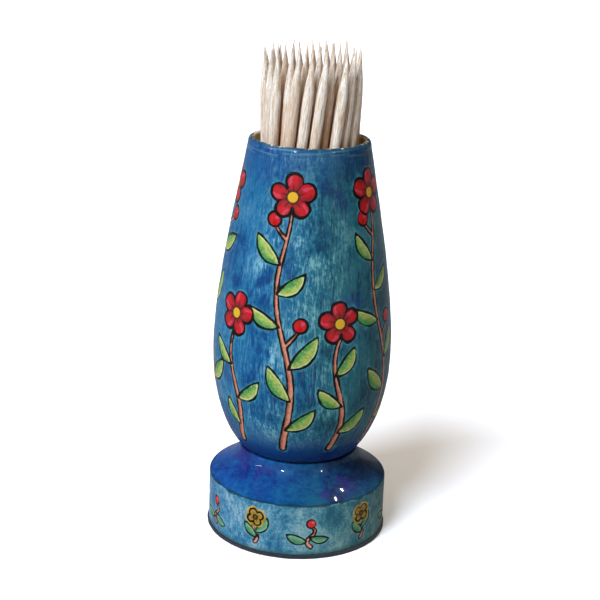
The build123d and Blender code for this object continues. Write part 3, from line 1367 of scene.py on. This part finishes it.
def pickLooks(spot):
    # pale birch: soft bands, fine fibres, a few darker picks and fine dark splits, with painted shade deep
    # in the bundle
    grain = inMillimetres(readField(spot.tree, "grain", "Vector"))
    wood = useGroup(woodGrain, {"Vector": grain, **pickValues["wood"]})
    tint = smooth(noise(stretch(grain, (0.02, 0.02, 0.03)), 1.0, 1.0), 0.42, 0.74, 0.0, 0.6)
    colour = mixColour(tint, wood["Colour"], pickValues["tint"])
    splits = smooth(noise(stretch(grain, (3.4, 3.4, 0.11)), 1.0, 2.0), 0.67, 0.73, 0.0, 0.85)
    colour = mixColour(splits, colour, pickValues["split"])
    return {
        "Base Color": mixColour(paintedShadeInBundle(spot), colour, pickValues["bundleShadeTone"], "MULTIPLY"),
        "Roughness": wood["Fibre"] * 0.2 + 0.6,
        "Specular IOR Level": 0.08,
        "Normal": bump(wood["Fibre"], 0.08),
    }


def makePicks():
    material = makeMaterial("birchPick", pickLooks)
    chance = np.random.default_rng(pickValues["seed"])
    axes = {joint["child"]: Vector(joint["axis"]).normalized() for joint in frame["joints"]}
    names = sorted(name for name in frame["nodes"] if name.startswith("pick_"))
    for name in names:
        low, high = (Vector(place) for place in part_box(name))
        axis = axes[name]
        length = (high.z - low.z) / axis.z
        sizes = pickValues["sizes"].items()
        values = {label: size * chance.uniform(least, most) for label, (size, least, most) in sizes}
        values["Length"] = length
        values["Fibre Depth"] = pickValues["fibreDepth"] * mm
        values["Seed"] = chance.uniform(0, 60)
        values["Material"] = material
        piece = runTree(toothpickTree, "tooth" + name, values)
        foot = (low + high) / 2 - axis * length / 2
        turn = Vector((0, 0, 1)).rotation_difference(axis).to_matrix().to_4x4()
        spin = Matrix.Rotation(chance.uniform(0, 2 * math.pi), 4, "Z")
        piece.data.transform(Matrix.Translation(foot) @ turn @ spin)
        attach(piece, name)
        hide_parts(name)
    print("toothpicks made:", len(names))


# stage, lights and camera

stageValues = {
    "floorSize": 12.0,
    "aimHeight": 0.05,
    "floorTones": (grey(0.95), grey(0.97)),
    "floorBounce": grey(0.45),  # less light comes up from the floor than its looks would give
    "floorGlow": grey(0.14),  # softens the shadow
    "skyLow": (0.22, 0.17, 0.1, 1.0),
    "skyHigh": (1.28, 1.04, 0.76, 1.0),
    "skyStrength": 0.3,
}

# turn from the front and height in degrees; a sun's wide is the angle of its disc in radians, and a
# lamp has its width and depth in metres, and its distance where it isn't one metre
lightValues = {
    "keyLight": {"turn": -37, "height": 46, "wide": 0.5, "power": 4.5, "colour": (0.88, 0.99, 1.18)},
    "topLight": {"turn": 0, "height": 88, "wide": 0.9, "power": 0.45, "colour": (1.0, 1.0, 1.0)},
    "leftSpark": {"turn": -27, "height": 20, "wide": 0.06, "deep": 0.06, "power": 10.0},
    "rightSpark": {"turn": 45, "height": 18, "wide": 0.05, "deep": 0.05, "power": 7.0},
    "backSpark": {"turn": 109, "height": 54, "wide": 0.08, "deep": 0.012, "power": 3.5},
    "lowBackSpark": {"turn": 116, "height": 63, "wide": 0.06, "deep": 0.01, "power": 2.1},
    "sideSpark": {"turn": -76, "height": 14, "distance": 0.9, "wide": 0.24, "deep": 0.06, "power": 2.2},
}

cameraValues = {
    "place": (-0.77, -271.8, 134.7),
    "tip": 0.3036,
    "roll": 0.0376,
    "lens": 82.74,
    "sensor": 36.0,
    "clipStart": 0.01,
}


def cameraRay(tree):
    return wires(addNode(tree, "ShaderNodeLightPath"))["Is Camera Ray"]


def floorLooks(spot):
    shown = mixColour(noise(spot, 0.003, 2.0), *stageValues["floorTones"])
    seen = cameraRay(spot.tree)
    return {
        "Base Color": mixColour(seen, stageValues["floorBounce"], shown),
        "Emission Color": mixColour(seen, black, stageValues["floorGlow"]),
        "Emission Strength": 1.0,
        "Roughness": 0.9,
        "Specular IOR Level": 0.2,
    }


def makeFloor():
    mesh = bpy.data.meshes.new("floor")
    half = stageValues["floorSize"] / 2
    corners = [(-half, -half, 0), (half, -half, 0), (half, half, 0), (-half, half, 0)]
    mesh.from_pydata(corners, [], [(0, 1, 2, 3)])
    mesh.materials.append(makeMaterial("paleFloor", floorLooks))
    newObject("floor", mesh)


def makeWorld():
    # soft light from above, brighter on the left and dim low on the right
    world = bpy.data.worlds.new("studio")
    bpy.context.scene.world = world
    world.use_nodes = True
    tree = world.node_tree
    direction = split(texturePlace(tree, "Generated"))
    level = smooth(direction["Z"] * 0.5 + direction["X"] * -0.4, -0.35, 0.55)
    sky = mixColour(level, stageValues["skyLow"], stageValues["skyHigh"])
    strength = stageValues["skyStrength"]
    white = grey(1 / strength)  # what is seen beyond the floor is white
    looks = {"Color": mixColour(cameraRay(tree), sky, white), "Strength": strength}
    feed(tree.nodes["Background"].inputs, looks)


def makeLights():
    # a broad soft key and top light, and small lamps that only give the lacquer its glints
    aim = Vector((0, 0, stageValues["aimHeight"]))
    for name, values in lightValues.items():
        turn, height = math.radians(values["turn"]), math.radians(values["height"])
        level = math.cos(height)
        way = Vector((math.sin(turn) * level, -math.cos(turn) * level, math.sin(height)))
        broad = "deep" not in values
        light = bpy.data.lights.new(name, "SUN" if broad else "AREA")
        light.energy = values["power"]
        light.color = values.get("colour", (1, 1, 1))
        lamp = newObject(name, light)
        if broad:
            light.angle = values["wide"]
            lamp.visible_glossy = False
        else:
            light.shape = "ELLIPSE"
            light.size, light.size_y = values["wide"], values["deep"]
            lamp.visible_diffuse = False
        lamp.location = aim + way * values.get("distance", 1.0)
        lamp.rotation_euler = (-way).to_track_quat("-Z", "Y").to_euler()


def makeCamera():
    # a long lens a little above the object, tipped down and rolled slightly
    camera = bpy.data.cameras.new("camera")
    camera.lens = cameraValues["lens"]
    camera.sensor_width = cameraValues["sensor"]
    camera.clip_start = cameraValues["clipStart"]
    view = newObject("camera", camera)
    tip, roll = cameraValues["tip"], cameraValues["roll"]
    forward = Vector((0, math.cos(tip), -math.sin(tip)))
    up = Vector((0, math.sin(tip), math.cos(tip)))
    right = Vector((1, 0, 0))
    across = right * math.cos(roll) + up * math.sin(roll)
    upward = up * math.cos(roll) - right * math.sin(roll)
    turn = Matrix((across, upward, -forward)).transposed().to_4x4()
    view.matrix_world = Matrix.Translation(Vector(cameraValues["place"]) * mm) @ turn
    bpy.context.scene.camera = view


makeVase()
makeFoot()
makePad()
turnedWood = makeMaterial("turnedWood", woodLooks)
makePost(turnedWood)
dressNode("tray", turnedWood)
zincSteel = makeMaterial("zincSteel", steelLooks)
dressNode("foot_screw", zincSteel)
dressNode("tray_screw", zincSteel)
dressNode("friction_ring", makeMaterial("ringRubber", rubberLooks))
makePicks()
makeFloor()
makeWorld()
makeLights()
makeCamera()
bpy.context.scene.view_settings.view_transform = "Standard"
print("stage, lights and camera made")
